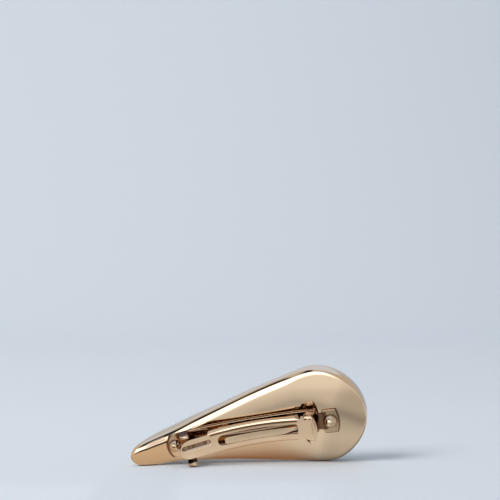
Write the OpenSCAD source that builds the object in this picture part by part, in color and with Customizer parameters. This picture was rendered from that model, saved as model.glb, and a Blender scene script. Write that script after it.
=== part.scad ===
/* [Drop] */
// Length of the drop from its narrow tip to its round end
drop_l = 92; // [88:0.5:96]
// Thickness of the drop's wall
drop_wall = 2; // [1.8:0.1:2.2]
// Radius of the bend that follows the head
bend_r = 205; // [200:5:220]
// How far the rounded edge of the back face reaches inwards
rim_w = 2.2; // [1.6:0.1:2.6]
// Depth of the back face behind the drop's widest line
rim_d = 1.8; // [1.6:0.1:2]

/* [Clasp plate] */
// Where the plate starts, from the drop's tip
plate_u0 = 14.6; // [14:0.1:15]
// Where the plate ends
plate_u1 = 80.5; // [80:0.1:81.5]
// Width of the plate
plate_w = 9.7; // [9.4:0.1:10]
// Thickness of the plate's sheet
plate_t = 0.7; // [0.6:0.1:0.8]
// Gap between the drop's back and the plate
plate_gap = 0.2; // [0.1:0.05:0.3]
// Turn of the whole clasp on the drop's back, in degrees
clasp_turn = 3; // [0:0.5:4]
// How far the clasp sits under the drop's middle line
clasp_v = 0.3; // [0:0.1:0.5]
// Place of the rivet at the round end
rivet_u1 = 77.9; // [77.6:0.1:78]
// Place of the rivet at the tip
rivet_u0 = 17.2; // [17:0.1:17.6]
// Radius of a rivet's domed head
rivet_r = 2.3; // [2.1:0.1:2.4]
// Radius of a rivet's shank
rivet_shank_r = 1; // [0.8:0.1:1.1]

/* [Hinge] */
// Place of the hinge pin
hinge_u = 70.4; // [70:0.1:70.8]
// Height of the hinge pin over the plate
hinge_h = 3; // [2.9:0.05:3.1]
// Radius of the hinge pin
pin_r = 0.7; // [0.6:0.05:0.75]
// Running clearance round the hinge pin
pin_gap = 0.06; // [0.04:0.01:0.08]
// Distance of the ears' outer faces from the middle
ear_v = 4.3; // [4.2:0.05:4.35]

/* [Arm] */
// Radius of the arm's arc
arm_r = 64; // [62:1:66]
// Place where the arm comes nearest to the plate
arm_u = 49.5; // [49:0.5:50]
// Height of the arm's underside over the plate there
arm_h = 2.4; // [2.3:0.1:2.8]
// Thickness of the arm's sheet
arm_t = 0.6; // [0.6:0.1:0.7]
// Width of the arm over its turned-down sides
arm_w = 8.8; // [8.6:0.1:9]
// Depth of the turned-down sides
side_d = 1.8; // [1.6:0.1:1.9]
// Width of the flat neck that goes into the latch
neck_w = 7.8; // [7.6:0.1:8]
// Width of the arm's window
window_w = 3.9; // [3.8:0.1:4]
// Width over the wings at the hinge
wing_w = 10.4; // [10.2:0.1:10.6]

/* [Latch] */
// Place of the two prongs
latch_u = 21.9; // [21.6:0.1:22.2]
// How far the two prongs are staggered to either side of that place
latch_skew = 0.8; // [0:0.1:1]
// Width of a prong along the plate
prong_l = 3.4; // [3:0.1:3.6]
// Height of a prong's rolled lip over the plate
lip_h = 7.8; // [7.6:0.1:8]
// Radius of a rolled lip
lip_r = 1.1; // [1:0.05:1.2]

/* [Rest] */
// Rise of the drop's axis to the right as it lies, in degrees
rest_tilt = 12.27; // [12:0.01:12.6]
// Lean towards the clasp as it lies, in degrees
rest_lean = 19.85; // [19:0.01:21]
// Turn about the upright as it lies, in degrees
rest_turn = 2.13; // [0:0.01:5]
// Height of the middle of the bent length over what the clip lies on
rest_z = 13.83; // [13:0.01:15]

/* [Hidden] */
$fn = 96;

gold = "#d9b48c";
steel_gold = "#c9a279";

// The drop's sections: place along the length from 0 to 1, half width, dome depth. Both sizes are
// multiplied by the round factor that closes the ends
sections = [
    [0.00, 12.5,  8.5],
    [0.06, 10.0, 11.5],
    [0.15,  8.5, 13.8],
    [0.30, 10.0, 12.3],
    [0.50, 13.8, 10.0],
    [0.70, 19.9, 10.6],
    [0.85, 27.3, 16.0],
    [1.00, 29.7, 25.0],
];
half_width = 1;
dome_depth = 2;

// The rounded edge's largest share of the half width, and the half width from which it has its full depth
rim_share = 0.6;
rim_full = 5;

// Inset of the hollow at the sides and at the two ends, as multiples of the wall
side_inset = 1.15;
end_inset = 3;

// Overlap of shapes that are one piece, and the reach of a cut past what it cuts
lap = 0.1;
reach = 12;

plate_in = -rim_d - plate_gap;
plate_out = plate_in - plate_t;
hinge_y = plate_out - hinge_h;
arm_in = plate_out - arm_h;

// Where the middle of the bent length lies from the middle of the box round the clip
rest_x = -0.43;
rest_y = 1.3;

// The plate's rounded ends, and its waist between the hinge and the rivet's tab
end_l = 5;
tip_arc = 8;
tab_arc = 14;
ear_foot = 0.6;
waist_l = 2.4;
waist_w = 6.4;
ear_r = 1.3;

// Sheet and length of the latch's prongs and lips
prong_t = 0.7;
prong_v = plate_w / 2 + 0.1;
lip_l = 3.8;

// Rivets and the pin's peened heads
rivet_h = 2;
rivet_ball_r = (rivet_r * rivet_r + rivet_h * rivet_h) / (2 * rivet_h);
seat_gap = 0.05;
rivet_gap = 0.1;
pin_head_r = 1.05;
pin_head_t = 0.35;

// The arm's stretches along its arc: channel, bridge, saddle over the hinge
channel_u0 = 30.8;
channel_u1 = 64.7;
bridge_w = 7.2;
bridge_t = 0.5;
saddle_u0 = 66.6;
saddle_u1 = 72.6;
saddle_arc = 11;
shoulder_r = 0.9;
wing_r = 1.5;
neck_l = 11.6;
window_u0 = 34.3;
window_u1 = 65.1;
window_l = window_u1 - window_u0;
window_u = (window_u0 + window_u1) / 2;

// The pin's place seen from the centre of the arm's arc, its place along the arc and its depth under it
pin_turn = (hinge_u - arm_u) / bend_r * 180 / PI;
pin_x = (bend_r + hinge_y) * sin(pin_turn);
pin_y = (bend_r + hinge_y) * cos(pin_turn) - (bend_r + arm_in - arm_r);
wing_u = arm_u + arm_r * atan2(pin_x, pin_y) / 180 * PI;
wing_drop = norm([pin_x, pin_y]) - arm_r;

// The groove in the neck: its size, its place, and its distance from the neck's middle line
groove_l = 9.6;
groove_w = 2.4;
groove_t = 0.3;
groove_u = 24.6;
groove_v = 0.8;

// The tension bar's route: place, height over the web's face, half width
bar_route = [
    [36.8,  0.30, 1.65],
    [42.0,  0.55, 1.70],
    [50.0,  0.60, 1.70],
    [56.4,  0.45, 1.65],
    [59.8,  0.10, 1.50],
    [63.2, -0.95, 0.80],
    [65.4, -1.35, 0.80],
    [67.8, -1.35, 0.80],
];
bar_t = 0.35;
bar_steps = 40;

// Slope of a section table at row i, the mean of its two neighbours' slopes weighted by their spans
function rise(t, k, i) = (t[i + 1][k] - t[i][k]) / (t[i + 1][0] - t[i][0]);
function slope(t, k, i) =
    i == 0 ? rise(t, k, 0) :
    i == len(t) - 1 ? rise(t, k, i - 1) :
    let (a = t[i][0] - t[i - 1][0], b = t[i + 1][0] - t[i][0])
    (rise(t, k, i - 1) * b + rise(t, k, i) * a) / (a + b);

// Smooth curve through column k of table t at x
function row_at(t, x, i = 0) = i >= len(t) - 2 || x < t[i + 1][0] ? i : row_at(t, x, i + 1);
function curve(t, k, x) =
    let (
        i = row_at(t, x),
        span = t[i + 1][0] - t[i][0],
        q = (x - t[i][0]) / span
    )
    (2 * pow(q, 3) - 3 * pow(q, 2) + 1) * t[i][k]
    + (pow(q, 3) - 2 * pow(q, 2) + q) * span * slope(t, k, i)
    + (3 * pow(q, 2) - 2 * pow(q, 3)) * t[i + 1][k]
    + (pow(q, 3) - pow(q, 2)) * span * slope(t, k, i + 1);

// A place at u along the bent length, y into the dome and z across
function bent(u, y, z) =
    let (a = (u - drop_l / 2) / bend_r * 180 / PI)
    [(bend_r + y) * sin(a), (bend_r + y) * cos(a) - bend_r, z];

// Section outline at half width h and dome depth d: a half ellipse for the dome, and a quarter ellipse
// at each edge of the flat back face
function outline(h, d, back) =
    let (c = min(rim_w, rim_share * h), b = back * min(1, h / rim_full))
    concat(
        [for (a = [0 : dome_step : 180]) [d * sin(a), h * cos(a)]],
        [for (a = [rim_step : rim_step : 90]) [-b * sin(a), -(h - c + c * cos(a))]],
        [for (a = [90 : -rim_step : rim_step]) [-b * sin(a), h - c + c * cos(a)]]
    );
dome_step = 7.5;
rim_step = 18;

// A closed drop: the outer surface where inset is 0, or the hollow inside it
module drop(inset, rings) {
    end = end_inset * inset;
    rows = [for (i = [1 : rings])
        let (
            a = 180 * i / (rings + 1),
            x = (1 - cos(a)) / 2,
            h = sin(a) * (curve(sections, half_width, x) - side_inset * inset),
            d = sin(a) * (curve(sections, dome_depth, x) - side_inset * inset),
            u = end + (drop_l - 2 * end) * x
        )
        [for (p = outline(h, d, rim_d - inset)) bent(u, p[0], p[1])]];
    n = len(rows[0]);
    points = concat(
        [bent(end, 0, 0)],
        [for (row = rows) for (p = row) p],
        [bent(drop_l - end, 0, 0)]
    );
    last = len(points) - 1;
    faces = concat(
        [for (j = [0 : n - 1]) [0, 1 + (j + 1) % n, 1 + j]],
        [for (i = [0 : rings - 2]) for (j = [0 : n - 1])
            let (a = 1 + i * n + j, b = 1 + i * n + (j + 1) % n)
            each [[a, b, a + n], [b, b + n, a + n]]],
        [for (j = [0 : n - 1]) [last, last - n + j, last - n + (j + 1) % n]]
    );
    polyhedron(points, faces, convexity = 4);
}

// Turn about the bend's centre that brings the middle of the length to u
function turn(u) = (u - drop_l / 2) / bend_r * 180 / PI;

// Puts its children at u on the bent length, y outwards from the centre line
module at(u, y = 0) {
    translate([0, -bend_r, 0])
        rotate([0, 0, -turn(u)])
            translate([0, bend_r + y, 0])
                children();
}

// Turn along the arm's arc from its nearest place to the plate to u
function swing(u) = (u - arm_u) / arm_r * 180 / PI;

// Puts its children at place u of the arm's arc, its web's underside at y = 0
module on_arm(u) {
    at(arm_u, arm_in - arm_r)
        rotate([0, 0, -swing(u)])
            translate([0, arm_r, 0])
                children();
}

// A 2D profile carried along the arm's arc from u0 to u1, its x outwards from the web's underside
module arm_sweep(u0, u1) {
    at(arm_u, arm_in - arm_r)
        rotate([0, 0, 90 - swing(u1)])
            rotate_extrude(angle = swing(u1) - swing(u0), $fn = 360)
                translate([arm_r, 0])
                    children();
}

// Puts a flat outline, drawn with x along the clip and y across it, through the sheet at y0 to y1
module through(y0, y1) {
    translate([0, y1, 0])
        rotate([90, 0, 0])
            linear_extrude(y1 - y0)
                children();
}

// A strip from x0 to x1 whose chosen end is a shallow arc of radius r
module arc_end(x0, x1, w, r, side) {
    intersection() {
        translate([x0, -w / 2])
            square([x1 - x0, w]);
        translate([side < 0 ? x0 + r : x1 - r, 0])
            circle(r);
    }
}

// The clasp's own place on the drop's back
module clasp_place() {
    translate([0, 0, -clasp_v])
        rotate([0, clasp_turn, 0])
            children();
}

// The clip as it lies
module rest() {
    translate([rest_x, rest_y, rest_z])
        rotate([0, 0, rest_turn])
            rotate([rest_lean, 0, 0])
                rotate([0, -rest_tilt, 0])
                    children();
}

module drop_shell() {
    color(gold)
        rest()
            difference() {
                drop(0, 56);
                drop(drop_wall, 24);
            }
}

module plate_outline() {
    x0 = bent(plate_u0, 0, 0)[0];
    x1 = bent(plate_u1, 0, 0)[0];
    waist0 = bent(hinge_u, 0, 0)[0] + ear_r + ear_foot;
    waist1 = waist0 + waist_l;
    arc_end(x0, x0 + end_l, plate_w, tip_arc, -1);
    translate([x0 + end_l - lap, -plate_w / 2])
        square([waist0 - x0 - end_l + lap, plate_w]);
    translate([waist0 - lap, -waist_w / 2])
        square([waist_l + 2 * lap, waist_w]);
    arc_end(waist1, x1, plate_w, tab_arc, 1);
}

module ear(side) {
    at(hinge_u)
        translate([0, 0, side > 0 ? ear_v - plate_t : -ear_v])
            linear_extrude(plate_t)
                union() {
                    translate([0, hinge_y])
                        circle(ear_r);
                    translate([-ear_r, hinge_y])
                        square([2 * ear_r, plate_in - hinge_y - plate_t / 2]);
                }
}

module prong(side) {
    lip_y = plate_out - lip_h;
    at(latch_u - side * latch_skew) {
        translate([-prong_l / 2, lip_y, side > 0 ? prong_v - prong_t : -prong_v])
            cube([prong_l, lip_h + plate_t / 2, prong_t]);
        translate([0, lip_y, side * (prong_v + lip_r - prong_t)])
            rotate([0, 90, 0]) {
                cylinder(r = lip_r, h = lip_l - 2 * lip_r, center = true);
                for (end = [-1, 1])
                    translate([0, 0, end * (lip_l / 2 - lip_r)])
                        sphere(lip_r);
            }
    }
}

module clasp_plate() {
    color(steel_gold)
        rest() clasp_place()
            difference() {
                union() {
                    intersection() {
                        translate([0, -bend_r, 0])
                            rotate([0, 0, 90 - turn(plate_u1) - 1])
                                rotate_extrude(angle = turn(plate_u1) - turn(plate_u0) + 2, $fn = 720)
                                    translate([bend_r + plate_out, -plate_w])
                                        square([plate_t, 2 * plate_w]);
                        through(-reach, 0)
                            plate_outline();
                    }
                    for (side = [-1, 1]) {
                        ear(side);
                        prong(side);
                    }
                }
                for (u = [rivet_u0, rivet_u1])
                    at(u)
                        rotate([90, 0, 0])
                            cylinder(r = rivet_shank_r + rivet_gap, h = reach, center = true);
                at(hinge_u, hinge_y)
                    cylinder(r = pin_r + pin_gap, h = 2 * plate_w, center = true);
            }
}

// A domed head on the plate, with its shank down to the drop's back
module rivet(u) {
    color(steel_gold)
        rest() clasp_place()
            at(u, plate_out - seat_gap)
                rotate([90, 0, 0]) {
                    intersection() {
                        translate([0, 0, rivet_h - rivet_ball_r])
                            sphere(rivet_ball_r);
                        cylinder(r = rivet_r, h = rivet_h);
                    }
                    translate([0, 0, -plate_t - plate_gap / 2 - seat_gap])
                        cylinder(r = rivet_shank_r, h = plate_t + rivet_h / 2);
                }
}

module tip_rivet() rivet(rivet_u0);

module end_rivet() rivet(rivet_u1);

module hinge_pin() {
    color(steel_gold)
        rest() clasp_place()
            at(hinge_u, hinge_y) {
                cylinder(r = pin_r, h = wing_w + 2 * seat_gap, center = true);
                for (side = [-1, 1])
                    translate([0, 0, side * (wing_w / 2 + seat_gap + pin_head_t / 2)])
                        cylinder(r = pin_head_r, h = pin_head_t, center = true);
            }
}

// Half of the arm's channel: a flat web with a rounded shoulder and a side turned down to the plate
module channel_half() {
    edge = arm_w / 2;
    translate([-arm_t, 0])
        square([arm_t, edge - shoulder_r]);
    translate([-arm_t + shoulder_r, edge - arm_t])
        square([side_d - shoulder_r, arm_t]);
    translate([-arm_t + shoulder_r, edge - shoulder_r])
        intersection() {
            difference() {
                circle(shoulder_r);
                circle(shoulder_r - arm_t);
            }
            translate([-shoulder_r, 0])
                square(shoulder_r);
        }
}

module channel() {
    channel_half();
    mirror([0, 1])
        channel_half();
}

// A wing from the middle of the saddle's sheet down round the pin
module wing(side) {
    on_arm(wing_u)
        translate([0, 0, side > 0 ? wing_w / 2 - arm_t : -wing_w / 2])
            linear_extrude(arm_t)
                union() {
                    translate([0, wing_drop])
                        circle(wing_r);
                    translate([-wing_r, -arm_t / 2])
                        square([2 * wing_r, arm_t / 2 + wing_drop]);
                }
}

module clasp_arm() {
    color(steel_gold)
        rest() clasp_place()
            difference() {
                union() {
                    arm_sweep(channel_u0, channel_u1)
                        channel();
                    arm_sweep(channel_u1 - lap, saddle_u0 + lap)
                        translate([-(arm_t + bridge_t) / 2, -bridge_w / 2])
                            square([bridge_t, bridge_w]);
                    intersection() {
                        arm_sweep(saddle_u0, saddle_u1)
                            translate([-arm_t, -wing_w / 2])
                                square([arm_t, wing_w]);
                        on_arm(saddle_u1)
                            through(-reach, reach)
                                translate([-saddle_arc, 0])
                                    circle(saddle_arc);
                    }
                    for (side = [-1, 1])
                        wing(side);
                    on_arm(channel_u0)
                        through(-arm_t, 0)
                            union() {
                                translate([-neck_l + neck_w / 2, -neck_w / 2])
                                    square([neck_l - neck_w / 2 + lap, neck_w]);
                                translate([-neck_l + neck_w / 2, 0])
                                    circle(d = neck_w);
                            }
                }
                on_arm(window_u)
                    through(-reach, reach)
                        union() {
                            translate([-window_l / 2 + window_w / 2, -window_w / 2])
                                square([window_l - window_w / 2, window_w]);
                            translate([-window_l / 2 + window_w / 2, 0])
                                circle(d = window_w);
                        }
                on_arm(channel_u0)
                    translate([groove_u - channel_u0, 0, groove_v])
                        through(-2 * arm_t, -arm_t + groove_t)
                            for (end = [-1, 1]) {
                                translate([end * (groove_l - groove_w) / 2, 0])
                                    circle(d = groove_w);
                                translate([-(groove_l - groove_w) / 2, -groove_w / 2])
                                    square([groove_l - groove_w, groove_w]);
                            }
                at(hinge_u, hinge_y)
                    cylinder(r = pin_r + pin_gap, h = 2 * wing_w, center = true);
            }
}

// The bar's side view and its outline from above, both on the arm's arc
function bar_u(i) =
    let (first = bar_route[0][0], last = bar_route[len(bar_route) - 1][0])
    first + (last - first) * i / bar_steps;
function bar_line(lift) = [for (i = [0 : bar_steps])
    let (u = bar_u(i), r = arm_r - arm_t - curve(bar_route, 1, u) - lift)
    [r * sin(swing(u)), r * cos(swing(u))]];
function bar_edge(side) = [for (i = [0 : bar_steps])
    let (u = bar_u(i))
    [arm_r * sin(swing(u)), side * curve(bar_route, 2, u)]];

function backwards(list) = [for (i = [len(list) - 1 : -1 : 0]) list[i]];

module tension_bar() {
    color(steel_gold)
        rest() clasp_place()
            at(arm_u, arm_in - arm_r)
                intersection() {
                    linear_extrude(window_w, center = true)
                        polygon(concat(bar_line(0), backwards(bar_line(bar_t))));
                    through(arm_r - reach, arm_r + reach)
                        polygon(concat(bar_edge(1), backwards(bar_edge(-1))));
                }
}

drop_shell();
clasp_plate();
tip_rivet();
end_rivet();
hinge_pin();
clasp_arm();
tension_bar();
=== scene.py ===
import math

import bmesh
import bpy
import numpy as np
from mathutils import Matrix


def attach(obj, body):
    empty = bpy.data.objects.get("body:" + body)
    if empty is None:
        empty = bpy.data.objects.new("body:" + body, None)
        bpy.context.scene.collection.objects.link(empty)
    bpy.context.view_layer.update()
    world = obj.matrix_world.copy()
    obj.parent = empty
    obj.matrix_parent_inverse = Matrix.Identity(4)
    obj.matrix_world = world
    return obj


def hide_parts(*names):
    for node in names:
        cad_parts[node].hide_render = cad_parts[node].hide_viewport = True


# A drop-shaped hair clip, seen from its back with its riveted clasp, lying as in the photograph
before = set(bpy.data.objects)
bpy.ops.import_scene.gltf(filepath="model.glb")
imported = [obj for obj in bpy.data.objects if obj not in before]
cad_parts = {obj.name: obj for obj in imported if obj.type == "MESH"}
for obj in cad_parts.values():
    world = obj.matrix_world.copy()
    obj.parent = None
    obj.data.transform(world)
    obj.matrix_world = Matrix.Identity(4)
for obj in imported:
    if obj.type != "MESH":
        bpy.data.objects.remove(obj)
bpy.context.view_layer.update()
print("frame loaded:", ", ".join(sorted(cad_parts)))

# Sizes are in millimetres and become metres when a piece is laid down
mm = 0.001
# Points nearer than this many millimetres become one, and places are rounded to this many digits
weldReach = 0.002
placeDigits = 4

# How the clip lies on the floor, and how the clasp sits on the drop's back
lie = {
    "length": 92.0,
    "bendRadius": 205.0,
    "tilt": -12.27,
    "lean": 19.85,
    "turn": 2.13,
    "middle": [-0.43, 1.3, 13.83],
    "claspTurn": 3.0,
    "claspShift": [0.0, 0.0, -0.3],
}


def turnAbout(axis, degrees):
    # Turn about one axis: the cosine for the other two axes, the sine across them
    i, j = (axis + 1) % 3, (axis + 2) % 3
    m = np.eye(3)
    m[i, i] = m[j, j] = math.cos(math.radians(degrees))
    m[j, i] = math.sin(math.radians(degrees))
    m[i, j] = -m[j, i]
    return m


lieTurn = turnAbout(2, lie["turn"]) @ turnAbout(0, lie["lean"]) @ turnAbout(1, lie["tilt"])
claspTurn = turnAbout(1, lie["claspTurn"])


def layDown(points):
    # From the drop's own millimetres to metres on the floor
    return (points @ lieTurn.T + lie["middle"]) * mm


def onBack(points):
    # From the clasp's own millimetres to metres on the floor
    return layDown(points @ claspTurn.T + lie["claspShift"])


def bent(u, y, z, step=0.0):
    # Place u along the bent length, y into the dome and z across; step goes straight on from there
    a = (u - lie["length"] / 2) / lie["bendRadius"]
    r = lie["bendRadius"] + y
    x = step * np.cos(a) + r * np.sin(a)
    depth = r * np.cos(a) - step * np.sin(a) - lie["bendRadius"]
    return np.stack(np.broadcast_arrays(x, depth, z), axis=-1)


def smoothTable(table, column, x):
    # Cubic through a table's rows, each row's slope the mean of its two neighbours' slopes
    t = np.asarray(table)
    place, value = t[:, 0], t[:, column]
    span = np.diff(place)
    rise = np.diff(value) / span
    inner = (rise[:-1] * span[1:] + rise[1:] * span[:-1]) / (span[:-1] + span[1:])
    slope = np.concatenate([rise[:1], inner, rise[-1:]])
    i = np.clip(np.searchsorted(place, x, side="right") - 1, 0, len(span) - 1)
    q = (x - place[i]) / span[i]
    start = (2 * q**3 - 3 * q**2 + 1) * value[i] + (q**3 - 2 * q**2 + q) * span[i] * slope[i]
    end = (3 * q**2 - 2 * q**3) * value[i + 1] + (q**3 - q**2) * span[i] * slope[i + 1]
    return start + end


def ease(x, start, end):
    # Goes from 0 at start to 1 at end along a smooth cubic
    q = np.clip((x - start) / (end - start), 0, 1)
    return q * q * (3 - 2 * q)


def growth(setting, x):
    # A setting of (most, start, end): eases from 0 up to most between start and end
    most, start, end = setting
    return most * ease(x, start, end)


def between(x, start, end, soft):
    # 1 inside the range and 0 outside, with an eased step at each end
    return ease(x, start - soft, start + soft) * (1 - ease(x, end - soft, end + soft))


def quarter(x, start, end):
    # Goes from 0 at start to 1 at end along a quarter circle, steep at the start
    q = np.clip((x - start) / (end - start), 0, 1)
    return np.sqrt(np.clip(1 - (1 - q) ** 2, 0, 1))


def roundStops(start, end, count):
    # Places from start to end that crowd at the start, as steps round a quarter circle do
    return start + (end - start) * (1 - np.cos(np.linspace(0, math.pi / 2, count)))


def edgeStops(count, edge):
    # Shares from 0 to 1 across a sheet with one narrow cell beside the free edge
    return np.concatenate([np.linspace(0, 1 - 3 * edge, count), [1 - edge, 1]])


def bothWays(share):
    # Shares from -1 to 1, mirrored about 0
    return np.concatenate([-share[:0:-1], share])


def makePiece(name, grids, finish, body, nodes, sheet=0.0, levels=0):
    # Each grid is (rows x columns x 3 points, True where the last column meets the first, painted shade
    # and darker tone at its points)
    points, quads, browns, first = [], [], [], 0
    for grid, closes, paintedShadeAndTone in grids:
        rows, columns = grid.shape[:2]
        across = columns if closes else columns - 1
        i, j = np.meshgrid(np.arange(rows - 1), np.arange(across), indexing="ij")
        a = first + i * columns + j
        b = first + i * columns + (j + 1) % columns
        quads.append(np.stack([a, b, b + columns, a + columns], axis=-1).reshape(-1, 4))
        points.append(grid.reshape(-1, 3))
        browns.append(np.broadcast_to(paintedShadeAndTone, (rows, columns)).ravel())
        first += rows * columns
    mesh = bpy.data.meshes.new(name)
    mesh.from_pydata(np.concatenate(points).tolist(), [], np.concatenate(quads).tolist())
    # Painted shade, and at a few pieces a plain darker tone, kept at each point for the plating to brown
    # by
    kept = mesh.attributes.new("paintedShadeAndTone", "FLOAT", "POINT")
    kept.data.foreach_set("value", np.concatenate(browns))
    work = bmesh.new()
    work.from_mesh(mesh)
    bmesh.ops.remove_doubles(work, verts=work.verts, dist=weldReach * mm)
    bmesh.ops.recalc_face_normals(work, faces=work.faces)
    work.to_mesh(mesh)
    work.free()
    mesh.shade_smooth()
    mesh.materials.append(finish)
    piece = bpy.data.objects.new(name, mesh)
    bpy.context.scene.collection.objects.link(piece)
    if sheet:
        wall = piece.modifiers.new("sheet", "SOLIDIFY")
        wall.thickness = sheet * mm
        wall.offset = 0
        wall.use_even_offset = True
    if levels:
        soft = piece.modifiers.new("soft edges", "SUBSURF")
        soft.levels = soft.render_levels = levels
    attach(piece, body)
    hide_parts(*nodes)
    print("made", name, "with", len(mesh.polygons), "faces")
    return piece


# How the metal looks: all finishes share these settings, and each has its own wear and its own painted
# shade in crevices, partly standing for tarnish
plating = {
    "driftDetail": 3.0,
    "toneFrom": 0.3,
    "toneTo": 0.7,
    "nearSamples": 8,
    "shadeAndTarnish": (0.13, 0.065, 0.033),
    "shadeAndTarnishReach": 0.0022,
    "shadeAndTarnishFull": 0.42,
    "shadeAndTarnishNone": 0.96,
    "wearDetail": 6.0,
    "wearRoughness": 0.65,
    "wearFrom": 0.35,
    "wearTo": 0.75,
    "hairTurn": (0.2, 0.5, 0.9),
    "hairDetail": 2.0,
    "hairReach": 0.00001,
    "waveDetail": 1.0,
    "waveReach": 0.0001,
}
# Sockets of the mix node by number, since their names repeat
mixShare, mixUnder, mixOver, mixResult = 0, 6, 7, 2


def node(tree, kind, inputs=None, **settings):
    # Adds a shader node, with its own settings and the values of its sockets
    made = tree.nodes.new(kind)
    for key, value in settings.items():
        setattr(made, key, value)
    for key, value in (inputs or {}).items():
        made.inputs[key].default_value = value
    return made


def polishedPlating(name, own):
    # Mirror plating: slow colour drift, worn patches and hair scratches in the gloss, faint waves, and
    # colour browned by painted shade
    look = {**plating, **own}
    material = bpy.data.materials.new(name)
    material.use_nodes = True
    tree = material.node_tree
    link = tree.links.new
    shader = tree.nodes["Principled BSDF"]
    shader.inputs["Metallic"].default_value = 1.0
    where = node(tree, "ShaderNodeTexCoord")

    drift = node(tree, "ShaderNodeTexNoise", {
        "Scale": look["driftScale"], "Detail": look["driftDetail"],
    })
    tone = node(tree, "ShaderNodeValToRGB")
    tone.color_ramp.elements[0].position = look["toneFrom"]
    tone.color_ramp.elements[0].color = (*look["dark"], 1)
    tone.color_ramp.elements[1].position = look["toneTo"]
    tone.color_ramp.elements[1].color = (*look["light"], 1)
    link(where.outputs["Object"], drift.inputs["Vector"])
    link(drift.outputs["Fac"], tone.inputs["Fac"])

    # Painted shade in crevices, partly standing for tarnish: the nearer the neighbouring metal the
    # browner, and at least as much as a shape drew there
    near = node(
        tree, "ShaderNodeAmbientOcclusion", {"Distance": look["shadeAndTarnishReach"]},
        samples=look["nearSamples"],
    )
    depth = node(tree, "ShaderNodeMapRange", {
        "From Min": look["shadeAndTarnishFull"], "From Max": look["shadeAndTarnishNone"],
        "To Min": 1.0, "To Max": 0.0,
    })
    darkened = node(tree, "ShaderNodeMix", data_type="RGBA", blend_type="MULTIPLY")
    darkened.inputs[mixOver].default_value = (*look["shadeAndTarnish"], 1)
    drawn = node(tree, "ShaderNodeAttribute", attribute_name="paintedShadeAndTone")
    darkShare = node(tree, "ShaderNodeMath", operation="MAXIMUM")
    link(near.outputs["AO"], depth.inputs["Value"])
    link(depth.outputs["Result"], darkShare.inputs[0])
    link(drawn.outputs["Fac"], darkShare.inputs[1])
    link(darkShare.outputs["Value"], darkened.inputs[mixShare])
    link(tone.outputs["Color"], darkened.inputs[mixUnder])
    link(darkened.outputs[mixResult], shader.inputs["Base Color"])

    wear = node(tree, "ShaderNodeTexNoise", {
        "Scale": look["wearScale"], "Detail": look["wearDetail"], "Roughness": look["wearRoughness"],
    })
    gloss = node(tree, "ShaderNodeMapRange", {
        "From Min": look["wearFrom"], "From Max": look["wearTo"],
        "To Min": look["smooth"], "To Max": look["worn"],
    })
    link(where.outputs["Object"], wear.inputs["Vector"])
    link(wear.outputs["Fac"], gloss.inputs["Value"])
    link(gloss.outputs["Result"], shader.inputs["Roughness"])

    # Hair scratches: noise drawn out one way, on top of the slow waves
    turned = node(tree, "ShaderNodeMapping", {
        "Rotation": look["hairTurn"], "Scale": look["hairScale"],
    })
    hair = node(tree, "ShaderNodeTexNoise", {"Scale": 1.0, "Detail": look["hairDetail"]})
    hairBump = node(tree, "ShaderNodeBump", {
        "Strength": look["hairDepth"], "Distance": look["hairReach"],
    })
    wave = node(tree, "ShaderNodeTexNoise", {
        "Scale": look["waveScale"], "Detail": look["waveDetail"],
    })
    waveBump = node(tree, "ShaderNodeBump", {
        "Strength": look["waveDepth"], "Distance": look["waveReach"],
    })
    link(where.outputs["Object"], turned.inputs["Vector"])
    link(turned.outputs["Vector"], hair.inputs["Vector"])
    link(where.outputs["Object"], wave.inputs["Vector"])
    link(hair.outputs["Fac"], hairBump.inputs["Height"])
    link(wave.outputs["Fac"], waveBump.inputs["Height"])
    link(waveBump.outputs["Normal"], hairBump.inputs["Normal"])
    link(hairBump.outputs["Normal"], shader.inputs["Normal"])
    return material


resinPlating = polishedPlating("plated resin", {
    "dark": (0.83, 0.62, 0.41),
    "light": (0.88, 0.67, 0.46),
    "driftScale": 30.0,
    "wearScale": 160.0,
    "smooth": 0.03,
    "worn": 0.07,
    "hairScale": (400.0, 6000.0, 6000.0),
    "hairDepth": 0.05,
    "waveScale": 90.0,
    "waveDepth": 0.12,
    "shadeAndTarnish": (0.34, 0.20, 0.11),
    "shadeAndTarnishReach": 0.0005,
    "shadeAndTarnishFull": 0.5,
    "shadeAndTarnishNone": 0.97,
})
sheetPlating = polishedPlating("plated sheet", {
    "dark": (0.79, 0.565, 0.36),
    "light": (0.89, 0.66, 0.44),
    "driftScale": 90.0,
    "wearScale": 420.0,
    "smooth": 0.04,
    "worn": 0.12,
    "hairScale": (500.0, 9000.0, 9000.0),
    "hairDepth": 0.15,
    "waveScale": 350.0,
    "waveDepth": 0.12,
    "shadeAndTarnishReach": 0.0012,
})
turnedPlating = polishedPlating("plated rivet", {
    "dark": (0.80, 0.60, 0.40),
    "light": (0.89, 0.69, 0.48),
    "driftScale": 120.0,
    "wearScale": 600.0,
    "smooth": 0.06,
    "worn": 0.14,
    "hairScale": (3000.0, 9000.0, 9000.0),
    "hairDepth": 0.15,
    "waveScale": 500.0,
    "waveDepth": 0.06,
})
springPlating = polishedPlating("plated spring", {
    "dark": (0.70, 0.52, 0.34),
    "light": (0.82, 0.63, 0.43),
    "driftScale": 110.0,
    "wearScale": 500.0,
    "smooth": 0.14,
    "worn": 0.28,
    "hairScale": (400.0, 8000.0, 8000.0),
    "hairDepth": 0.35,
    "waveScale": 300.0,
    "waveDepth": 0.1,
})

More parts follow.
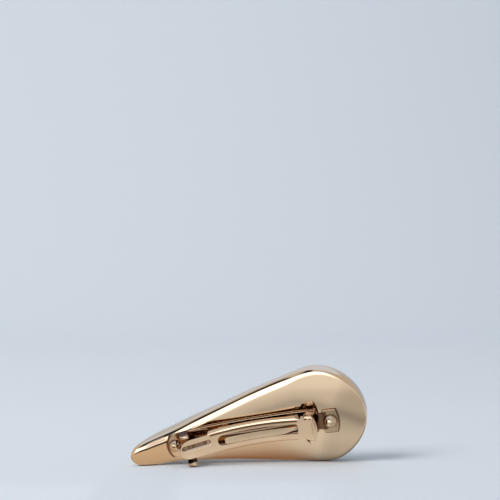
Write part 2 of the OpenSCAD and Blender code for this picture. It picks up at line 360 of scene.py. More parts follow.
# The drop: half width and dome depth of its sections by place along it
drop = {
    "sections": [
        [0.00, 12.5, 8.5],
        [0.06, 10.0, 11.5],
        [0.15, 8.5, 13.8],
        [0.30, 10.0, 12.3],
        [0.50, 13.8, 10.0],
        [0.70, 19.9, 10.6],
        [0.85, 27.3, 16.0],
        [1.00, 29.7, 25.0],
    ],
    "backDepth": 1.8,
    "fullDepthFrom": 5.0,
    "upperRim": [[0.0, 0.0], [0.1, 15.0], [0.65, 40.0], [1.0, 90.0]],
    "upperRise": 0.8,
    "lowerRim": [[0.0, 0.0], [0.5, 30.0], [1.0, 90.0]],
    "lowerRise": 0.0,
    "upperEndShare": 0.5,
    "lowerEndShare": 1.0,
    "endFrom": 0.66,
    "endTo": 0.86,
    "riseShare": 0.08,
    "rimShare": 0.6,
    "thinnest": 0.001,
    "rings": 240,
    "domeSteps": 88,
    "rimSteps": 22,
    "backSteps": 30,
}


def rimCurve(turns, steps):
    # Edge profile from its slope: the angle runs through the table, and its steps are added up
    share = np.linspace(0, 1, steps)
    slope = np.radians(np.interp((share[1:] + share[:-1]) / 2, *np.transpose(turns)))
    out = np.concatenate([[0], np.cumsum(np.cos(slope))])
    rise = np.concatenate([[0], np.cumsum(np.sin(slope))])
    return out / rise[-1], rise / rise[-1]


def dropSkin(d):
    # Rings along the drop; each is part of half an ellipse for the dome, a rim profile at each
    # side, and flat between the rims
    turn = np.linspace(0, math.pi, d["rings"])[:, None]
    place = (1 - np.cos(turn)) / 2
    half = np.sin(turn) * smoothTable(d["sections"], 1, place)
    deep = np.sin(turn) * smoothTable(d["sections"], 2, place)
    back = d["backDepth"] * np.minimum(1, half / d["fullDepthFrom"])
    sides = []
    for rim, rise, endShare in (
        (d["lowerRim"], d["lowerRise"], d["lowerEndShare"]),
        (d["upperRim"], d["upperRise"], d["upperEndShare"]),
    ):
        lift = np.minimum(rise, d["riseShare"] * deep)
        first = np.arcsin(np.clip(lift / np.maximum(deep, d["thinnest"]), 0, 1))
        out, up = rimCurve(rim, d["rimSteps"])
        edge = half * np.cos(first)
        narrow = 1 - (1 - endShare) * ease(place, d["endFrom"], d["endTo"])
        reach = np.minimum((back + lift) * out[-1] * narrow, d["rimShare"] * edge)
        sides.append((first, edge, reach, edge - reach + reach * out / out[-1], (back + lift) * up - back))
    (lowFirst, lowEdge, lowReach, lowZ, lowY), (upFirst, upEdge, upReach, upZ, upY) = sides
    dome = upFirst + (math.pi - upFirst - lowFirst) * np.linspace(0, 1, d["domeSteps"])
    flat = np.linspace(0, 1, d["backSteps"])[1:-1]
    y = [deep * np.sin(dome), lowY[:, -2::-1], -back + 0 * flat, upY[:, :-1]]
    z = [
        half * np.cos(dome),
        -lowZ[:, -2::-1],
        lowReach - lowEdge + (upEdge - upReach + lowEdge - lowReach) * flat,
        upZ[:, :-1],
    ]
    u = lie["length"] * place
    return layDown(bent(u, np.concatenate(y, axis=1), np.concatenate(z, axis=1)))


makePiece(
    "plated_drop", [(dropSkin(drop), True, 0.0)], resinPlating, "clip_base", ["drop_shell"]
)

# The clasp's base: a long plate with two ears for the hinge and two prongs for the latch
plate = {
    "start": 14.6,
    "end": 80.9,
    "halfWidth": 4.85,
    "sheet": 0.7,
    "middle": -2.25,
    "tipArc": 8.0,
    "tabArc": 14.0,
    "waistHalf": 3.2,
    "waistFrom": 72.3,
    "waistTo": 74.7,
    "waistSoft": 0.45,
    "sunk": 0.06,
    "tabShift": -0.4,
    "shiftEarly": 1.0,
    "endRows": 16,
    "tipRun": 2.2,
    "longRows": 60,
    "waistMargin": 0.6,
    "waistRows": 34,
    "tabRun": 1.5,
    "tabRows": 10,
    "columns": 17,
    "edge": 0.025,
    # Painted shade on the plate: under the arm, between hinge and rivet, at the edges and outline, on the
    # tab and round the upper prong's foot
    "coveredTo": 4.1,
    "coveredSoft": 0.5,
    "coveredFade": 0.2,
    "coveredBrown": 0.52,
    "hollow": [71.6, 76.3, 0.5],
    "hollowMiddle": 0.4,
    "hollowSide": [3.3, 4.2],
    "hollowBrown": 0.97,
    "hollowPale": [74.0, 0.12],
    "edgeFrom": 0.99,
    "edgeBrown": 0.1,
    "innerDarkLine": [1.15, 0.14],
    "innerDarkBrown": 0.6,
    "tabOutline": [0.2, 0.5],
    "tipOutline": [0.5, 0.9],
    "lowOutline": 0.97,
    "outlineBrown": 0.9,
    "tabBrown": [0.22, 73.5, 75.0],
    "prongSide": 3.7,
    "prongBrown": [0.82, 2.0, 3.2],
}
hinge = {
    "place": 70.4,
    "height": -5.7,
    "earMiddle": 3.95,
    "earRadius": 1.3,
    "earFoot": 0.6,
    "earSpread": 1.5,
    "spreadFrom": 0.5,
    "spreadPower": 1.6,
    "bendRows": 7,
    "earRows": 14,
    "topRows": 10,
    "earColumns": 6,
    "earEdge": 0.03,
    "pinRadius": 0.7,
    "pinHalf": 5.1,
    "headRadius": 0.95,
    "headDepth": 0.35,
    "headRows": 14,
    "pinAround": 40,
    # The ears and the pin are painted darker all over, as painted shade round the hinge
    "earBrown": 0.4,
    "pinBrown": 0.5,
}
latch = {
    "place": 21.9,
    "stagger": 0.8,
    "prongMiddle": 4.6,
    "foot": 0.5,
    "height": -9.3,
    "curlRadius": 0.56,
    "flare": 0.8,
    "flarePower": 3,
    "curlTurn": 255.0,
    "halfWidth": 1.7,
    "lipHalf": 1.75,
    "lipFrom": 0.75,
    "lipTaper": [0.75, 1.5],
    "bow": 0.12,
    "endRound": 0.6,
    "endPower": 3,
    "endTurn": 1.2,
    "bendRows": 7,
    "climbRows": 20,
    "rollRows": 26,
    "columns": 8,
    "edge": 0.03,
    # Painted shade on the prongs' curls and side edges, and a painted highlight along each curl
    "curlBrown": [1.9, 2.9],
    "lowerShade": 0.62,
    "upperShade": 0.3,
    "shine": [0.2, 0.35],
    "edgeBrown": [0.85, 0.72, 0.97],
}


def plateBrown(p, u, z, across, fromTip, fromTab):
    # Painted shade: browned where the arm covers it, and a dark patch between hinge and rivet
    covered = between(u, arm["tip"], arm["saddleTo"], p["coveredSoft"])
    covered = covered * (1 - ease(np.abs(z), p["coveredTo"] - p["coveredFade"], p["coveredTo"]))
    hollow = between(u, *p["hollow"]) * (1 - ease(np.abs(z - p["hollowMiddle"]), *p["hollowSide"]))
    paleAt, pale = p["hollowPale"]
    hollow = hollow * (1 - pale * np.exp(-((u - paleAt) ** 2)))
    paintedShadeAndTone = np.maximum(p["coveredBrown"] * covered, p["hollowBrown"] * hollow)
    paintedShadeAndTone = np.maximum(paintedShadeAndTone, p["edgeBrown"] * (np.abs(across) > p["edgeFrom"]))
    # Painted shade also along its outline, on the tab and round the upper prong's foot
    # A dark line painted inside the tab's arc, as painted shade
    innerLineAt, innerLineHalf = p["innerDarkLine"]
    pressed = p["innerDarkBrown"] * np.exp(-(((fromTab - innerLineAt) / innerLineHalf) ** 2))
    outline = np.maximum(1 - ease(fromTab, *p["tabOutline"]), 1 - ease(fromTip, *p["tipOutline"]))
    low = (u > p["waistTo"]) * (z < 0) * (np.abs(across) > p["lowOutline"])
    paintedShadeAndTone = np.maximum(paintedShadeAndTone, p["outlineBrown"] * np.maximum(np.maximum(outline, low), pressed))
    paintedShadeAndTone = np.maximum(paintedShadeAndTone, growth(p["tabBrown"], u))
    foot = np.hypot(u - latch["place"] + latch["stagger"], z - p["prongSide"])
    return np.maximum(paintedShadeAndTone, p["prongBrown"][0] - growth(p["prongBrown"], foot))


def plateStrip(p):
    # Strip on the bend whose half width follows the two arcs at its ends and the waist
    middle, bend = lie["length"] / 2, lie["bendRadius"]
    start = bend * math.sin((p["start"] - middle) / bend)
    end = bend * math.sin((p["end"] - middle) / bend)
    waist0, waist1 = p["waistFrom"] - middle, p["waistTo"] - middle
    tipTo, tabFrom, margin = start + p["tipRun"], end - p["tabRun"], p["waistMargin"]
    x = np.unique(np.round(np.concatenate([
        roundStops(start, tipTo, p["endRows"]),
        np.linspace(tipTo, waist0 - margin, p["longRows"]),
        np.linspace(waist0 - margin, waist1 + margin, p["waistRows"]),
        np.linspace(waist1 + margin, tabFrom, p["tabRows"]),
        roundStops(end, tabFrom, p["endRows"]),
    ]), placeDigits))[:, None]
    tip = p["tipArc"] * quarter(x, start, start + p["tipArc"])
    tab = p["tabArc"] * quarter(-x, -end, -end + p["tabArc"])
    pinch = between(x, waist0, waist1, p["waistSoft"])
    half = p["halfWidth"] - (p["halfWidth"] - p["waistHalf"]) * pinch
    half = np.minimum(half, np.minimum(tip, tab))
    across = bothWays(edgeStops(p["columns"], p["edge"]))
    z = half * across
    r = bend + p["middle"]
    y = np.sqrt(r * r - x * x) - bend
    # How far a place is from the two arcs at the plate's ends
    fromTab = end - p["tabArc"] + np.sqrt(p["tabArc"] ** 2 - z**2) - x
    fromTip = x - start - p["tipArc"] + np.sqrt(p["tipArc"] ** 2 - z**2)
    paintedShadeAndTone = plateBrown(p, x + middle, z, across, fromTip, fromTab)
    z = z + p["tabShift"] * ease(x, waist0 - p["shiftEarly"], waist1)
    return onBack(np.stack(np.broadcast_arrays(x, y, z), axis=-1)), False, paintedShadeAndTone


def upright(place, side, path, left, right, across):
    # A flap bent up from the plate: path gives height and side place, left and right its edges
    height, aside = path
    middle, half = (right + left) / 2, (right - left) / 2
    return onBack(bent(place, height, side * aside, middle[:, None] + half[:, None] * across))


def earFlap(side):
    # Quarter bend out of the plate, then straight up to a round top; the far edge spreads at its foot
    h = hinge
    turn = np.linspace(0, math.pi / 2, h["bendRows"])
    foot = h["earFoot"]
    start = plate["middle"] + plate["sunk"]
    climb = np.concatenate([
        np.linspace(start - foot, h["height"], h["earRows"])[1:],
        roundStops(h["height"] - h["earRadius"], h["height"], h["topRows"])[-2::-1],
    ])
    height = np.concatenate([start - foot * (1 - np.cos(turn)), climb])
    aside = h["earMiddle"] - foot + foot * np.concatenate([np.sin(turn), np.ones(len(climb))])
    over = np.clip(h["height"] - height, 0, h["earRadius"])
    cap = np.sqrt(np.clip(h["earRadius"] ** 2 - over**2, 0, None))
    level = h["height"] + h["spreadFrom"]
    spread = h["earSpread"] * np.clip((height - level) / (start - level), 0, 1) ** h["spreadPower"]
    path = (height[:, None], aside[:, None])
    across = bothWays(edgeStops(h["earColumns"], h["earEdge"]))
    return upright(h["place"], side, path, -cap, cap + spread, across), False, h["earBrown"]


def prongFlap(side):
    # Quarter bend out of the plate, straight up with a slight bow, then rolled over outwards
    p = latch
    foot, curl = p["foot"], p["curlRadius"]
    start = plate["middle"] + plate["sunk"]
    bend = np.linspace(0, math.pi / 2, p["bendRows"])
    climb = np.linspace(0, 1, p["climbRows"])[1:]
    roll = np.radians(np.linspace(0, p["curlTurn"], p["rollRows"]))[1:]
    across = bothWays(edgeStops(p["columns"], p["edge"]))
    flat = np.zeros(len(across))
    ends = np.abs(across) ** p["endPower"]
    tight = 1 - p["endRound"] * ends * ease(roll, 0, p["endTurn"])[:, None]
    height = np.concatenate([
        (start - foot * (1 - np.cos(bend)))[:, None] + flat,
        (start - foot + (p["height"] - start + foot) * climb)[:, None] + flat,
        p["height"] - curl * tight * np.sin(roll)[:, None],
    ])
    flare = p["flare"] * climb ** p["flarePower"]
    aside = p["prongMiddle"] + np.concatenate([
        (foot * np.sin(bend) - foot)[:, None] + flat,
        (flare - p["bow"] * np.sin(math.pi * climb))[:, None] + flat,
        p["flare"] + curl - curl * tight * np.cos(roll)[:, None],
    ])
    wide = np.concatenate([0 * bend, ease(climb, p["lipFrom"], 1), 0 * roll + 1])
    half = p["halfWidth"] + (p["lipHalf"] - p["halfWidth"]) * wide
    late = np.clip((roll - roll[0]) / (roll[-1] - roll[0]), 0, 1)
    taper, taperPower = p["lipTaper"]
    half[-len(roll):] *= np.sqrt(1 - taper * late**taperPower)
    # Painted shade over all but the start of the curl, with a painted highlight along its middle
    low = np.concatenate([0 * bend + 1, 0 * climb + 1, ease(roll, *p["curlBrown"])])
    curlShade = p["lowerShade"] if side < 0 else p["upperShade"]
    shineAt, shineHalf = p["shine"]
    shine = np.exp(-(((across - shineAt) / shineHalf) ** 2))
    paintedShadeAndTone = np.maximum(low[:, None], curlShade * (1 - shine))
    paintedShadeAndTone = np.maximum(paintedShadeAndTone, growth(p["edgeBrown"], np.abs(across)))
    place = p["place"] - side * p["stagger"]
    return upright(place, side, (height, aside), -half, half, across), False, paintedShadeAndTone


def revolved(profile, steps, place):
    # A profile of (radius, height) points turned once about its axis
    radius, height = np.asarray(profile).T[:, :, None]
    a = np.linspace(0, 2 * math.pi, steps, endpoint=False)
    return place(radius * np.cos(a), height + 0 * a, radius * np.sin(a))


# Domed rivet heads, a little rounded at the foot, with a shank down to the drop
rivet = {
    "tipPlace": 17.2,
    "endPlace": 77.9,
    "tipShift": 0.0,
    "endShift": -0.3,
    "tipGrown": 1.0,
    "endGrown": 1.14,
    "radius": 2.3,
    "height": 2.0,
    "seat": -2.75,
    "rimInset": 0.02,
    "footRound": 0.18,
    "footLap": 0.01,
    "shankRadius": 1.0,
    "shankDepth": 0.8,
    "capRows": 30,
    "footRows": 7,
    "around": 64,
    # The heads are made a little darker all over
    "headDarkening": 0.14,
}


def rivetHead(place, shift, grown, r):
    # Ball cap from the crown to the foot, a quarter round under it, then the shank
    ball = (r["radius"] ** 2 + r["height"] ** 2) / (2 * r["height"])
    a = np.linspace(0, math.asin(min(1, (r["radius"] - r["rimInset"]) / ball)), r["capRows"])
    cap = np.stack([ball * np.sin(a), r["height"] - ball + ball * np.cos(a)], axis=-1)
    b = np.linspace(0, math.pi / 2, r["footRows"])
    f = r["footRound"]
    foot = np.stack([r["radius"] - f + f * np.cos(b), f - f * np.sin(b)], axis=-1)
    cap = cap[cap[:, 1] > f + r["footLap"]]
    shank = [[r["shankRadius"], 0], [r["shankRadius"], -r["shankDepth"]], [0, -r["shankDepth"]]]
    profile = np.concatenate([cap, foot, shank]) * grown
    return revolved(
        profile, r["around"], lambda x, y, z: onBack(bent(place, r["seat"] - y, z + shift, x))
    )


for name, end in (("tip_rivet", "tip"), ("end_rivet", "end")):
    head = rivetHead(rivet[end + "Place"], rivet[end + "Shift"], rivet[end + "Grown"], rivet)
    makePiece(
        name + "_head", [(head, True, rivet["headDarkening"])], turnedPlating,
        "clip_base", [name],
    )


def pinTurned(h):
    # Half profile of the pin: a peened head like a lens, the shaft, and the other head mirrored
    a = np.linspace(0, math.pi, h["headRows"])
    edge = h["headRadius"] - h["headDepth"] / 2
    head = np.stack([
        edge + h["headDepth"] / 2 * np.sin(a),
        h["pinHalf"] + h["headDepth"] / 2 + h["headDepth"] / 2 * np.cos(a),
    ], axis=-1)
    crown = [[0, h["pinHalf"] + h["headDepth"]]]
    shaft = [[h["pinRadius"], h["pinHalf"]]]
    upper = np.concatenate([crown, head, shaft])
    profile = np.concatenate([upper, (upper * [1, -1])[::-1]])
    return revolved(
        profile, h["pinAround"], lambda x, y, z: onBack(bent(h["place"], h["height"] + z, y, x))
    )


makePiece(
    "hinge_pin_turned", [(pinTurned(hinge), True, hinge["pinBrown"])], turnedPlating,
    "clip_base", ["hinge_pin"],
)

# The arm: one blank of sheet on its own arc, its edges turned down along the channel and at the hinge
arm = {
    "arcRadius": 64.0,
    "nearest": 49.5,
    "under": -5.1,
    "sheet": 0.6,
    "tip": 19.2,
    "tipRows": 10,
    "rows": [
        [21.4, 29.6, 36], [29.6, 32.4, 16], [32.4, 34.1, 6], [36.05, 63.2, 40],
        [63.2, 65.6, 22], [65.6, 67.4, 12], [67.4, 71.3, 28],
    ],
    "neckHalf": 3.9,
    "neckEnd": 30.8,
    "shoulder": [30.6, 31.7],
    "channelIn": [30.2, 31.5],
    "channelOut": [65.4, 66.4],
    "channelEnd": 64.7,
    "flatHalf": 3.65,
    "turnedRadius": 0.6,
    "turnedDepth": 0.85,
    "leastBend": 0.0001,
    "bevel": [[0.0, 0.0], [0.1, 0.16], [0.62, 0.22], [0.85, 0.6], [1.0, 1.0]],
    "columns": [[0.0, 0.0], [5, 0.34], [18, 0.76], [22, 0.93], [23, 0.978], [24, 1.0]],
    "bridgeFrom": 60.0,
    "bridgeHalf": 4.2,
    "saddleFrom": 66.6,
    "saddleTo": 72.6,
    "saddleHalf": 5.2,
    "saddleRound": 0.5,
    "saddleLap": 0.1,
    "saddleArc": 11.0,
    "saddleArcFrom": 71.0,
    "saddleFlat": 4.3,
    "saddleEase": [65.8, 66.8],
    "saddleRoll": [0.35, 2.2],
    "saddleRows": 12,
    "wing": 69.6,
    "wingHalf": 1.5,
    "wingDrop": 1.28,
    "wingSoft": [0.15, 0.1],
    "windowFrom": 34.1,
    "windowTo": 65.25,
    "windowHalf": 1.95,
    "windowRound": 0.5,
    "windowRows": 10,
    "endRound": 1.1,
    # Where the arm is painted with shade: cut edges, turned sides, the wing, a fold line, a band along the
    # shoulder and spots
    "edgeFrom": 0.99,
    "innerTo": 0.001,
    "windowOpen": 0.3,
    "brownSoft": 0.3,
    "wallBrown": [0.12, 0.7, 0.9],
    "wingBrown": [0.5, 0.0, 0.8],
    "foldLine": [70.8, 0.16, 0.4],
    "foldSide": [2.0, 3.2],
    "shadeMiddle": 3.3,
    "shadeSide": [0.3, 0.5],
    "shadeLag": 0.6,
    "shadeBrown": 0.85,
    "spotSide": [0.7, 1.1],
}
groove = {
    "place": 25.7,
    "across": 0.8,
    "length": 11.8,
    "width": 2.4,
    "depth": [0.62, 0.78, 1.02],
    "ribSide": [0.05, 0.55],
    "ribHeight": 0.14,
    "ribWaves": [2.1, 0.9, 1.0],
    # Painted shade in the groove: less on the rib, fading at its side, and paler at a spot and in waves
    "ribBrown": 0.7,
    "brownSide": [0.7, 0.95],
    "paleSpot": [0.7, 30.5, 0.28],
    "paleWave": [0.2, 3.1],
}
# Dark spots of painted shade on the saddle: place, side place, half length and half width
saddleSpots = [[68.6, 4.0, 0.75, 0.3], [70.3, 4.0, 0.35, 0.25], [71.2, 4.1, 0.3, 0.2]]


def onArm(u, y, z):
    # Place on the arm's arc, y towards the plate; before the channel the neck runs straight
    middle = (arm["nearest"] - lie["length"] / 2) / lie["bendRadius"]
    turn = middle + (np.maximum(u, arm["neckEnd"]) - arm["nearest"]) / arm["arcRadius"]
    step = np.minimum(u - arm["neckEnd"], 0)
    out = arm["arcRadius"] + y
    centre = lie["bendRadius"] + arm["under"] - arm["arcRadius"]
    x = centre * math.sin(middle) + step * np.cos(turn) + out * np.sin(turn)
    depth = centre * math.cos(middle) - lie["bendRadius"] - step * np.sin(turn) + out * np.cos(turn)
    return onBack(np.stack(np.broadcast_arrays(x, depth, z), axis=-1))


def armEdges(u, a):
    # The half blank, stretch by stretch: how far it bends, its flat part, its outer and inner edge
    turned = a["turnedRadius"] * math.pi / 2
    channel = ease(u, *a["channelIn"]) * (1 - ease(u, *a["channelOut"]))
    before, after = a["wing"] - a["wingHalf"], a["wing"] + a["wingHalf"]
    far, close = a["wingSoft"]
    wing = ease(u, before - far, before + close) * (1 - ease(u, after - close, after + far))
    bend = math.pi / 2 * np.clip(channel + wing, a["leastBend"], 1)
    flat = a["flatHalf"] + (a["saddleFlat"] - a["flatHalf"]) * ease(u, *a["saddleEase"])
    neck = a["neckHalf"] * quarter(u, a["tip"], a["tip"] + a["neckHalf"])
    full = a["flatHalf"] + turned + a["turnedDepth"]
    edge = neck + (full - a["neckHalf"]) * quarter(u, *a["shoulder"])
    gone = 1 - quarter(-u, -a["channelEnd"], -a["channelEnd"] + a["endRound"])
    edge = np.where(u > a["bridgeFrom"], full - (full - a["bridgeHalf"]) * gone, edge)
    widened = quarter(u, a["saddleFrom"], a["saddleFrom"] + a["saddleRound"])
    saddle = a["bridgeHalf"] + (a["saddleHalf"] - a["bridgeHalf"]) * widened
    edge = np.where(u > a["saddleFrom"] - a["saddleLap"], saddle, edge)
    reach = np.clip(a["wingHalf"] ** 2 - (u - a["wing"]) ** 2, 0, None)
    winged = a["saddleFlat"] + turned + a["wingDrop"] + np.sqrt(reach)
    edge = edge + wing * (winged - edge)
    arc = a["saddleArc"] ** 2 - (a["saddleArc"] - (a["saddleTo"] - u)) ** 2
    rounded = np.minimum(edge, np.sqrt(np.clip(arc, 0, None)))
    edge = np.where(u > a["saddleArcFrom"], rounded, edge)
    inner = a["windowHalf"] * quarter(u, a["windowFrom"], a["windowFrom"] + a["windowHalf"])
    inner = inner * quarter(-u, -a["windowTo"], -a["windowTo"] + a["windowRound"])
    return turned, wing, bend, flat, edge, inner


def armBrown(side, u, across, share, z, flat, turned, wing, inner, a):
    # Painted shade, browned: both cut edges, the turned sides, a fold line over the saddle, and on the
    # upper half the wing, a band along the shoulder and spots on the saddle
    edges = (share > a["edgeFrom"]) + (share < a["innerTo"]) * (inner > a["windowOpen"])
    most, wall0, wall1 = a["wallBrown"]
    wall = most * ease(across, flat + wall0 * turned, flat + wall1 * turned)
    wall = wall * between(u, a["neckEnd"], a["channelEnd"], a["brownSoft"])
    foldAt, foldHalf, foldBrown = a["foldLine"]
    fold = foldBrown * np.exp(-(((u - foldAt) / foldHalf) ** 2)) * (1 - ease(z, *a["foldSide"]))
    paintedShadeAndTone = np.maximum(np.maximum(edges, wall), fold)
    if side < 0:
        return paintedShadeAndTone
    most, wing0, wing1 = a["wingBrown"]
    paintedShadeAndTone = np.maximum(paintedShadeAndTone, most * wing * ease(across, flat + wing0 * turned, flat + wing1 * turned))
    along = between(u, a["neckEnd"] + a["shadeLag"], a["channelEnd"] + a["shadeLag"], a["brownSoft"])
    shade = 1 - ease(np.abs(across - a["shadeMiddle"]), *a["shadeSide"])
    paintedShadeAndTone = np.maximum(paintedShadeAndTone, a["shadeBrown"] * along * shade)
    for place, height, length, width in saddleSpots:
        spot = np.hypot((u - place) / length, (z - height) / width)
        paintedShadeAndTone = np.maximum(paintedShadeAndTone, 1 - ease(spot, *a["spotSide"]))
    return paintedShadeAndTone


def grooveShape(u, z, g):
    # How deep the groove is pressed at a place, a rib left standing along its middle, and the painted
    # shade in it, paler at a spot and in waves
    endTo = np.maximum(np.abs(u - g["place"]) - (g["length"] - g["width"]) / 2, 0)
    off = np.hypot(endTo, z - g["across"]) / (g["width"] / 2)
    fast, slow, lag = g["ribWaves"]
    rib = 1 - ease(off, *g["ribSide"])
    rib = rib * (1 + np.sin(fast * u) * np.sin(slow * u + lag)) / 2
    depth, wall0, wall1 = g["depth"]
    pressed = depth * (1 - ease(off, wall0, wall1)) - g["ribHeight"] * rib
    paleSpot, paleSpotAt, paleSpotHalf = g["paleSpot"]
    wave, waveTurn = g["paleWave"]
    paler = paleSpot * np.exp(-(((u - paleSpotAt) / paleSpotHalf) ** 2)) + wave * np.sin(waveTurn * u) ** 2
    brown = (1 - ease(off, *g["brownSide"])) * (1 - (1 - g["ribBrown"]) * rib) * (1 - paler)
    return np.maximum(pressed, 0), brown


def armHalf(side, a):
    # One half of the blank: from the window's edge to the blank's edge, bent down past the shoulder
    rows = a["rows"]
    u = np.concatenate([
        roundStops(a["tip"], rows[0][0], a["tipRows"]),
        *[np.linspace(*row) for row in rows],
        roundStops(a["windowFrom"], a["windowFrom"] + a["windowHalf"], a["windowRows"]),
        roundStops(a["saddleTo"], rows[-1][1], a["saddleRows"]),
    ])
    u = np.unique(np.round(u, placeDigits))[:, None]
    turned, wing, bend, flat, edge, inner = armEdges(u, a)
    columns = np.array(a["columns"])
    share = np.interp(np.arange(columns[-1, 0] + 1), *columns.T)
    across = inner + (edge - inner) * share
    # Past the flat the sheet turns down by the bevel's table; its steps are added up
    middle = (across[:, 1:] + across[:, :-1]) / 2
    angle = bend * np.interp(np.clip((middle - flat) / turned, 0, 1), *np.transpose(a["bevel"]))
    step = np.diff(across, axis=1)
    z = np.concatenate([inner, inner + np.cumsum(step * np.cos(angle), axis=1)], axis=1)
    down = np.concatenate([0 * inner, np.cumsum(step * np.sin(angle), axis=1)], axis=1)
    pressed, paintedShadeAndTone = grooveShape(u, side * z, groove)
    paintedShadeAndTone = np.maximum(paintedShadeAndTone, armBrown(side, u, across, share, z, flat, turned, wing, inner, a))
    roll, rollLength = a["saddleRoll"]
    rolled = roll * ease(u, a["saddleTo"] - rollLength, a["saddleTo"]) ** 2
    return onArm(u, -a["sheet"] / 2 + down + pressed + rolled, side * z), False, paintedShadeAndTone


makePiece(
    "clasp_arm_sheet", [armHalf(side, arm) for side in (-1, 1)],
    sheetPlating, "arm", ["clasp_arm"], sheet=arm["sheet"], levels=1,
)

makePiece(
    "clasp_plate_sheet",
    [plateStrip(plate)] + [earFlap(side) for side in (-1, 1)] + [prongFlap(side) for side in (-1, 1)],
    sheetPlating, "clip_base", ["clasp_plate"], sheet=plate["sheet"], levels=1,
)

# The tension bar: a bowed spring strip in the arm's window, its tail tucked under the bridge
bar = {
    "route": [
        [36.8, 0.30, 1.65],
        [42.0, 0.55, 1.70],
        [50.0, 0.60, 1.70],
        [56.4, 0.45, 1.65],
        [59.8, 0.10, 1.50],
        [63.2, -0.95, 0.80],
        [65.4, -1.35, 0.80],
        [67.8, -1.35, 0.80],
    ],
    "sheet": 0.35,
    "endRound": 0.9,
    "endShare": 0.35,
    "crown": 0.1,
    "narrow": 0.85,
    "lower": 0.24,
    "endRows": 9,
    "rows": 90,
    "columns": 6,
    "edge": 0.04,
    "brownFrom": 0.9,
}


def barStrip(b):
    # A strip along the route, its half width from the table, slightly crowned across
    start, end = b["route"][0][0], b["route"][-1][0]
    roundTo = start + b["endRound"]
    u = np.concatenate([
        roundStops(start, roundTo, b["endRows"]),
        np.linspace(roundTo, end, b["rows"])[1:],
    ])[:, None]
    ended = b["endShare"] + (1 - b["endShare"]) * quarter(u, start, roundTo)
    half = b["narrow"] * smoothTable(b["route"], 2, u) * ended
    share = bothWays(edgeStops(b["columns"], b["edge"]))
    lift = smoothTable(b["route"], 1, u) + b["sheet"] / 2 - b["crown"] * share**2
    # The cut edges are painted dark, as painted shade
    cut = (np.abs(share) > b["brownFrom"]).astype(float)
    return onArm(u, -arm["sheet"] - lift, half * share - b["lower"]), False, cut


makePiece(
    "tension_bar_strip", [barStrip(bar)], springPlating, "arm",
    ["tension_bar"], sheet=bar["sheet"], levels=1,
)

# The studio: a pale sweep, soft lights, and cards that only the polish sees
studio = {
    "nearTone": (0.60, 0.635, 0.68),
    "farTone": (0.82, 0.86, 0.905),
    "toneFrom": -0.25,
    "toneTo": 1.0,
    "front": -6.0,
    "bendFrom": 1.0,
    "bendRadius": 0.9,
    "top": 5.0,
    "halfWidth": 6.0,
    "bendRows": 24,
    "columns": 9,
    "roughness": 0.9,
    "specular": 0.1,
}


def sweepSurface(s):
    # Flat floor, a quarter circle up, then a straight wall, carried across the width
    a = np.linspace(0, math.pi / 2, s["bendRows"])
    wall = s["bendFrom"] + s["bendRadius"]
    y = np.concatenate([[s["front"]], s["bendFrom"] + s["bendRadius"] * np.sin(a), [wall]])
    z = np.concatenate([[0], s["bendRadius"] * (1 - np.cos(a)), [s["top"]]])
    x = np.linspace(-s["halfWidth"], s["halfWidth"], s["columns"])
    return np.stack(np.broadcast_arrays(x, y[:, None], z[:, None]), axis=-1)


def stagePiece(name, grid, material):
    # A grid of points joined into four-sided faces, given to none of the clip's bodies
    rows, columns = grid.shape[:2]
    i, j = np.meshgrid(np.arange(rows - 1), np.arange(columns - 1), indexing="ij")
    a = i * columns + j
    quads = np.stack([a, a + 1, a + 1 + columns, a + columns], axis=-1).reshape(-1, 4)
    mesh = bpy.data.meshes.new(name)
    mesh.from_pydata(grid.reshape(-1, 3).tolist(), [], quads.tolist())
    mesh.shade_smooth()
    mesh.materials.append(material)
    piece = bpy.data.objects.new(name, mesh)
    bpy.context.scene.collection.objects.link(piece)
    return piece


def paperFinish(s):
    # Matt paper whose tone rises away from the camera, so that it looks even under the lights
    material = bpy.data.materials.new("sweep paper")
    material.use_nodes = True
    tree = material.node_tree
    link = tree.links.new
    shader = tree.nodes["Principled BSDF"]
    shader.inputs["Roughness"].default_value = s["roughness"]
    shader.inputs["Specular IOR Level"].default_value = s["specular"]
    where = node(tree, "ShaderNodeTexCoord")
    split = node(tree, "ShaderNodeSeparateXYZ")
    away = node(tree, "ShaderNodeMapRange", {"From Min": s["toneFrom"], "From Max": s["toneTo"]})
    tone = node(tree, "ShaderNodeValToRGB")
    tone.color_ramp.elements[0].color = (*s["nearTone"], 1)
    tone.color_ramp.elements[1].color = (*s["farTone"], 1)
    link(where.outputs["Object"], split.inputs["Vector"])
    link(split.outputs["Y"], away.inputs["Value"])
    link(away.outputs["Result"], tone.inputs["Fac"])
    link(tone.outputs["Color"], shader.inputs["Base Color"])
    return material


stagePiece("sweep", sweepSurface(studio), paperFinish(studio))

# What the polish mirrors: a dome of reflectors round the clip, and the bright sheet in front of it, with
# the clip's shadow and gold bounce light painted on the sheet
reflectors = {
    "radius": 0.27,
    "middle": (0.0, 0.0, 0.015),
    "sides": [-180, 180, 181],
    "rises": [-8, 90, 50],
    "air": (0.56, 0.61, 0.69),
    "sky": (0.67, 0.81, 1.12),
    "behind": (0.58, 0.70, 0.92),
    "white": (2.2, 2.2, 2.4),
    "gap": (0.012, 0.011, 0.01),
    "front": (0.72, 0.75, 0.80),
    "right": (0.54, 0.53, 0.52),
    "farRight": (0.44, 0.50, 0.66),
    "tipSide": (0.60, 0.58, 0.52),
    # Each band lies over the ones before: its side angles and how soft, then where it fades upwards
    "bands": [
        ["front", -70, 14, 10, 10, 40],
        ["right", 22, 128, 10, 40, 60],
        ["farRight", 116, 160, 8, 15, 35],
        ["tipSide", -125, -40, 8, 38, 48],
        ["white", -42, -10, 5, 11, 17],
    ],
    "behindSides": [150, 165],
    "gapSides": [-34, -16, 4],
    "gapRises": [16, 42, 2.5],
    "skyRises": [42, 50],
}
